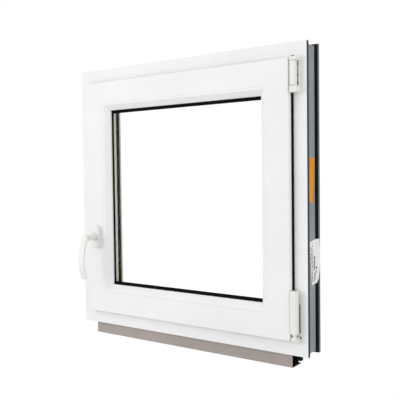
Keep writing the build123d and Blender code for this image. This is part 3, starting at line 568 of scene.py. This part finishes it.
rework("sill_profile", "sill_pvc", ["taupe", "dark"], 0.0004, 2, 40, sill_finish)
rework("drain_caps", "cap_plastic", "cap", 0.0004)
rework("stay_band_cover", "cover_plastic", "cover", 0.0006, 3, 40)
rework("sash_hinge_cover", "cover_plastic", "cover", 0.0008, 3, 30)
rework("corner_bearing", "bearing_metal", ["cast", "olive"], 0.0004, 2, 30, corner_finish,
       cut=CORNER_BASE_TOP)
rework("corner_pivot_pin", "bearing_metal", "cast", 0.0003)
rework("rosette_cover", "handle_metal", "handle", 0.0004, 2, 40)
rework("handle_base", "cover_plastic", "cover", 0.0003)
rework("stay_bearing_screws", "screw_steel", "cover", 0.0001, 1)
for name in ("corner_bearing_screws", "striker_screws",
             "hinge_band_screws", "faceplate_screws", "handle_screws"):
    rework(name, "screw_steel", "screw", 0.0001, 1)
for name in ("striker_plates", "tilt_striker", "sash_hinge_band", "faceplates", "corner_drives",
             "side_drive_bar", "top_drive_bar", "bottom_drive_bar", "side_locking_cams",
             "top_locking_cam", "bottom_locking_cams", "stay_arm", "stay_pin"):
    rework(name, "hardware_steel", "zinc", 0.0002)


LIP_ZONE, LIP_SPREAD = 0.0355, 0.0018          # metres from the frame's outer edge, and outward


def spread_lip(point):
    """The overlap seal's thin lip on the hinge side, spread a little over the frame's face, so
    that its black also stands in as painted shadow of the gap between sash and frame.
    """
    across = HALF_WIDTH - abs(point.x)
    if across < LIP_ZONE and point.x > 0:
        point.x += LIP_SPREAD
    return point


rework("sash_overlap_gasket", "gasket_rubber", "rubber", 0.0002, 2, 40, move=spread_lip)

# CAD nodes whose shape is right as it is
for name, key in {
    "frame_reinforcements": "steel", "sash_reinforcements": "steel", "inner_pane": "glass",
    "outer_pane": "glass", "glass_spacer": "spacer", "glass_edge_seal": "seal",
    "glazing_blocks": "block", "gear_housing": "zinc", "handle_spindle": "zinc",
    "drive_pinion": "zinc",
    "outer_glazing_gasket": "rubber", "frame_stop_gasket": "rubber",
}.items():
    node = frame["nodes"][name]
    node.data.materials.clear()
    node.data.materials.append(FINISH[key])


def box_faces(x, y, z, start):
    """Corners and faces of a box between two values on each axis, numbered from start."""
    verts = [Vector((a, b, c)) for a in x for b in y for c in z]
    faces = [(0, 1, 3, 2), (4, 6, 7, 5), (0, 4, 5, 1), (2, 3, 7, 6), (0, 2, 6, 4), (1, 5, 7, 3)]
    return verts, [[k + start for k in face] for face in faces]


# Upper hinge: a bracket with squared ends round the moving cover

stay_low, stay_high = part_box("stay_bearing")
band_low, band_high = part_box("stay_band_cover")
axis_x, axis_y = stay_low.x + 0.005, FACE_Y - 0.014
END_SIDE, END_FRONT = 0.0066, 0.0068           # how far an end reaches past the hinge's axis
COVER_GAP = 0.0008                             # between an end and the moving cover
PLATE_SIDE, PLATE_THICK, BACK_THICK = 0.0078, 0.0055, 0.0035
PLATE_INSET = 0.004

end_x, end_y = (axis_x - END_SIDE, stay_high.x), (axis_y - END_FRONT, FACE_Y)
plate_z = (stay_low.z + PLATE_INSET, stay_high.z - PLATE_INSET)
bracket_verts, bracket_faces = [], []
for x, y, z in (
    (end_x, end_y, (band_high.z + COVER_GAP, stay_high.z)),
    (end_x, end_y, (stay_low.z, band_low.z - COVER_GAP)),
    ((axis_x + PLATE_SIDE, stay_high.x - 0.0003), (FACE_Y - PLATE_THICK, FACE_Y), plate_z),
    ((axis_x, stay_high.x - 0.0006), (FACE_Y - BACK_THICK, FACE_Y), plate_z),
):
    corners, sides = box_faces(x, y, z, len(bracket_verts))
    bracket_verts += corners
    bracket_faces += sides
piece("stay_bearing_skin", "frame", "cover_plastic", ["stay_bearing"],
      bracket_verts, outward(bracket_verts, bracket_faces), "cover", 0.0013, 3, 40)


# Lever: a flat grip that bows away from the sash, blended into its round neck

HANDLE_HEIGHT = 0.243                          # of the spindle over the frame's underside
NECK_R, OVAL_CORNERS = 0.008, 24
GRIP_ROWS, NECK_ROWS = 40, 12
GRIP_START = -0.085                            # grip's top, as a share of the lever's drop
GRIP_THICK, GRIP_TAPER = 0.0085, 0.0018

lever_low, lever_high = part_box("handle_lever")
spindle_x, spindle_z = 0.5 * (lever_low.x + lever_high.x), HANDLE_HEIGHT + BOTTOM
sash_y = FACE_Y + SASH_FRONT * MM
lever_drop, lever_width = spindle_z - lever_low.z, lever_high.x - lever_low.x
lever_out = sash_y - lever_low.y


def bow(share):
    """How far out the grip's front is at a share of its drop."""
    top, bulge, tip = lever_out - 0.015, lever_out - 0.0004, lever_out - 0.011
    peak = 0.57
    if share < peak:
        return bulge - (bulge - top) * ((peak - share) / peak) ** 2.2
    return bulge - (bulge - tip) * ((share - peak) / (1 - peak)) ** 2.0


def oval(centre, first, second, half_first, half_second, power):
    """Points of a superellipse; a power of 2 gives a circle or an ellipse."""
    points = []
    for step in range(OVAL_CORNERS):
        angle = 2 * pi * step / OVAL_CORNERS
        a, b = cos(angle), sin(angle)
        a = half_first * (1 if a > 0 else -1) * abs(a) ** (2 / power)
        b = half_second * (1 if b > 0 else -1) * abs(b) ** (2 / power)
        points.append(centre + first * a + second * b)
    return points


def skin(rings):
    """Vertices and faces of a closed skin over a row of rings."""
    verts = [point for ring in rings for point in ring]
    count = len(rings[0])
    faces = []
    for row in range(len(rings) - 1):
        for k in range(count):
            first, last = row * count + k, row * count + (k + 1) % count
            faces.append([first, last, last + count, first + count])
    faces += [list(range(count)), list(range(len(verts) - count, len(verts)))]
    return verts, faces


def lever_shape():
    """Vertices and faces of the grip and the neck, which the remesh joins."""
    across, out, rise = Vector((1, 0, 0)), Vector((0, -1, 0)), Vector((0, 0, 1))
    rings = []
    for row in range(GRIP_ROWS + 1):
        share = GRIP_START + (1 - GRIP_START) * row / GRIP_ROWS
        below = max(share, 0)
        edge = min(1.0, (1.0 - share) / 0.03 + 0.25, (share - GRIP_START) / 0.05 + 0.35)
        thick = GRIP_THICK - GRIP_TAPER * below
        place = Vector((spindle_x, sash_y - bow(below) + thick / 2,
                        spindle_z - lever_drop * share))
        width = lever_width / 2 * (0.9 + 0.1 * min(1, below / 0.4)) * edge ** 0.5
        rings.append(oval(place, across, out, width, thick / 2 * edge ** 0.4, 3.2))
    grip = skin(rings)
    rings = []
    depth_out = bow(0) - 0.002
    for row in range(NECK_ROWS + 1):
        share = row / NECK_ROWS
        radius = NECK_R * (1.0 + 0.22 * (1 - share) ** 2 + 0.25 * max(0, share - 0.5) ** 2 / 0.25)
        place = Vector((spindle_x, sash_y - depth_out * share, spindle_z))
        rings.append(oval(place, across, rise, radius, radius, 2))
    neck = skin(rings)
    start = len(grip[0])
    return grip[0] + neck[0], grip[1] + [[k + start for k in face] for face in neck[1]]


lever_verts, lever_faces = lever_shape()
lever = piece("handle_lever_skin", "handle", "handle_metal", ["handle_lever"],
              lever_verts, outward(lever_verts, lever_faces), "handle", angle=180)
blend = lever.modifiers.new("blend", "REMESH")
blend.mode, blend.voxel_size, blend.use_smooth_shade = "VOXEL", 0.0009, True
soften = lever.modifiers.new("soften", "SMOOTH")
soften.factor, soften.iterations = 0.5, 6


# Films on the outer edge

WEB_U, RISE_START, RISE_END = 5.5, 46, 55      # u of the web, d between which a film rises to 0
RELIEF = 0.0003
LABEL_ROWS, LABEL_COLUMNS = 70, 36
STICKER_ROWS, STICKER_COLUMNS = 28, 8
# Corners as (d, z): low left, low right, top right, top left
LABEL_CORNERS = [(30, 0.1880), (50, 0.1900), (57, 0.2920), (21, 0.2860)]
STICKER_CORNERS = [(16, 0.3790), (35, 0.3700), (46.5, 0.4740), (21.5, 0.4740)]
LABEL_BULGE = 8.0
# Blocks of plain bars on the label: columns from and to, rows from and to, as shares
PRINT_BLOCKS = ((0.10, 0.22, 0.05, 0.85), (0.30, 0.36, 0.30, 0.95),
                (0.42, 0.56, 0.04, 0.62), (0.64, 0.72, 0.05, 0.40))
BAR_CHANCE, BAR_SEED = 0.7, 7


def film_path(d):
    """u of a film at a depth: down on the web, over the groove and on the rail."""
    if d < RISE_START:
        return WEB_U
    if d > RISE_END:
        return 0.0
    share = (d - RISE_START) / (RISE_END - RISE_START)
    return WEB_U * (1 - share * share * (3 - 2 * share))


def sheet(name, slot, nodes, finish, corners, rows, columns, bulge=0.0):
    """A film between four corners; bulge pushes its right edge out halfway up."""
    low_left, low_right, top_right, top_left = [Vector(c) for c in corners]
    verts, faces = [], []
    for row in range(rows + 1):
        v = row / rows
        for column in range(columns + 1):
            w = column / columns
            point = (low_left.lerp(low_right, w)).lerp(top_left.lerp(top_right, w), v)
            d = point.x + bulge * w * 4 * v * (1 - v)
            x = HALF_WIDTH - film_path(d) * MM + RELIEF
            verts.append((x, FACE_Y + d * MM, point.y))
    for row in range(rows):
        for column in range(columns):
            k = row * (columns + 1) + column
            faces.append([k, k + 1, k + columns + 2, k + columns + 1])
    return piece(name, "frame", slot, nodes, verts, faces, finish, angle=60)


label = sheet("frame_label_skin", "label_film", ["frame_label"], "label", LABEL_CORNERS,
              LABEL_ROWS, LABEL_COLUMNS, LABEL_BULGE)
label.data.materials.append(FINISH["print"])
draw = random.Random(BAR_SEED)
for start, stop, first, last in PRINT_BLOCKS:
    for row in range(LABEL_ROWS):
        dark = first < row / LABEL_ROWS < last and draw.random() < BAR_CHANCE
        for column in range(LABEL_COLUMNS):
            if dark and start <= column / LABEL_COLUMNS < stop:
                label.data.polygons[row * LABEL_COLUMNS + column].material_index = 1
sheet("transport_sticker_skin", "sticker_film", ["transport_sticker"], "sticker",
      STICKER_CORNERS, STICKER_ROWS, STICKER_COLUMNS)


# ------------------------------------------------------------ light

world = bpy.data.worlds.new("studio")
scene.world = world
world.use_nodes = True
background = world.node_tree.nodes["Background"]
path = world.node_tree.nodes.new("ShaderNodeLightPath")


def world_mix(factor, first, second):
    """A number between two; inputs 0, 2 and 3 and output 0 are the node's number sockets."""
    node = world.node_tree.nodes.new("ShaderNodeMix")
    for socket, value in ((0, factor), (2, first), (3, second)):
        feed(world.node_tree, node.inputs[socket], value)
    return node.outputs[0]


# White behind the window and through the glass, softer light on it, little to mirror
DIFFUSE_LIGHT, MIRRORED_LIGHT, GLASS_LIGHT, BACKDROP = 0.76, 0.2, 1.06, 1.0
soft = world_mix(path.outputs["Is Glossy Ray"], DIFFUSE_LIGHT, MIRRORED_LIGHT)
seen = world_mix(path.outputs["Is Transmission Ray"], soft, GLASS_LIGHT)
feed(world.node_tree, background.inputs["Strength"],
     world_mix(path.outputs["Is Camera Ray"], seen, BACKDROP))
background.inputs["Color"].default_value = (1, 1, 1, 1)


def softbox(name, place, aim, size, power, mirrored):
    """A square area light that the camera doesn't see, in metres and watts."""
    data = bpy.data.lights.new(name, "AREA")
    data.shape, data.size, data.energy = "SQUARE", size, power
    lamp = bpy.data.objects.new(name, data)
    lamp.location = place
    lamp.rotation_euler = (Vector(aim) - Vector(place)).to_track_quat("-Z", "Y").to_euler()
    lamp.visible_camera, lamp.visible_glossy = False, mirrored
    scene.collection.objects.link(lamp)


softbox("key", (-2.0, -2.8, 0.8), (0, 0, 0.4), 2.2, 45, False)
softbox("top", (-0.4, -1.9, 3.0), (0, 0, 0.6), 1.8, 12, False)
softbox("fill", (2.9, -0.6, 0.6), (0.2, 0, 0.4), 1.6, 17, True)

scene.view_settings.view_transform = "Standard"
scene.view_settings.look = "None"
